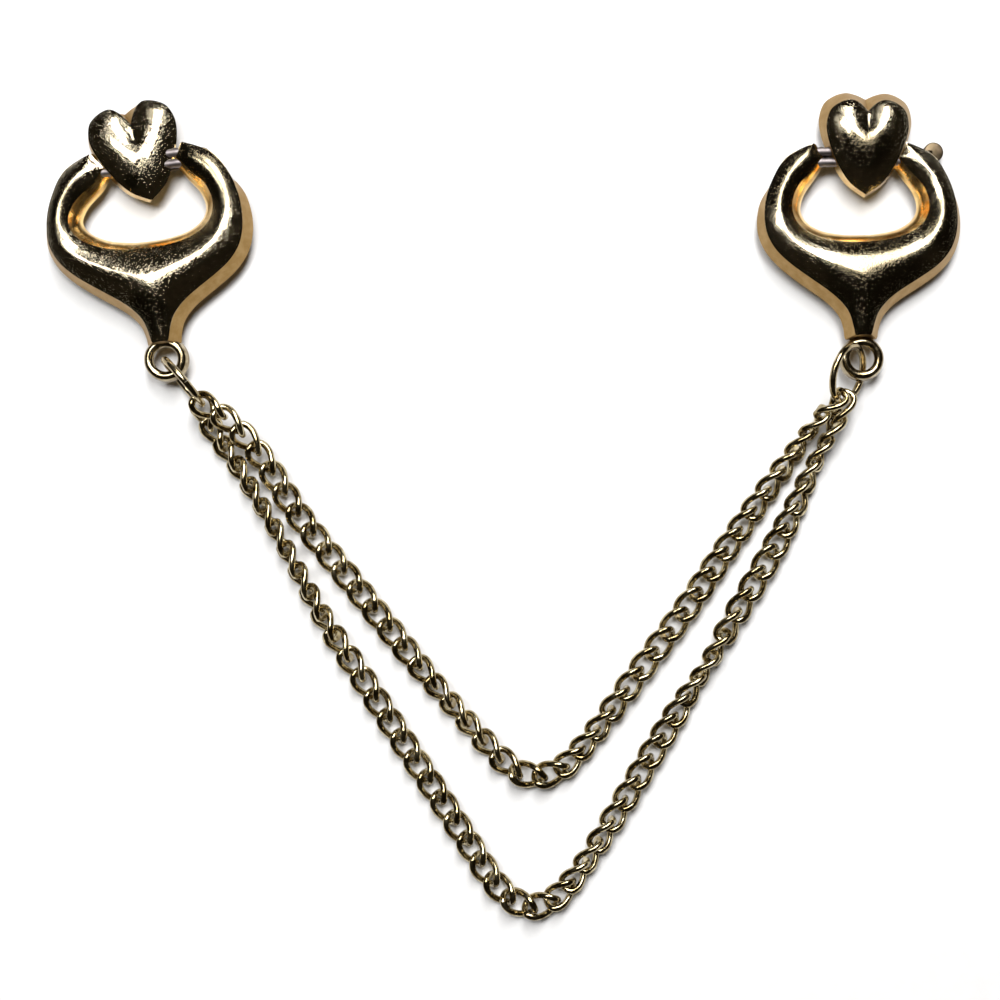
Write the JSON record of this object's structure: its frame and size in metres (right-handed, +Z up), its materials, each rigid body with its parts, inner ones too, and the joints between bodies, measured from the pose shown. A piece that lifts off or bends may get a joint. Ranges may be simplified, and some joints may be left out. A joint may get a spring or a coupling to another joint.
{
  "type": "chained pin brooch pair",
  "caption": "Matching gold-tone pin brooches, each a puffed heart set over an open crescent frame, joined by curb chain swags through jump rings, for pinning to a collar or lapel.",
  "frame": {"origin": "on the surface that the set lies on, under the middle of its overall length and width", "axes": "+X from the left brooch to the right brooch, +Y towards the hearts' notches and away from the hanging chains, +Z up from the surface towards the front of the brooches"},
  "size_m": [0.0963, 0.0872, 0.0065],
  "materials": {
    "cast_gold_tone": "polished gold-tone plate over a casting, with fine pits and hairline scratches",
    "pin_metal": "plain gold-tone plated bar, post, catch and pin stem",
    "ring_wire": "darker polished gold-tone round wire",
    "chain_wire": "polished antique gold-tone wire links"
  },
  "bodies": {
    "root": {"left_heart_frame": "cast_gold_tone", "right_heart_frame": "cast_gold_tone", "left_pin_back": "pin_metal", "right_pin_back": "pin_metal", "left_jump_ring": "ring_wire", "right_jump_ring": "ring_wire", "inner_chain": "chain_wire", "outer_chain": "chain_wire"}
  },
  "joints": []
}
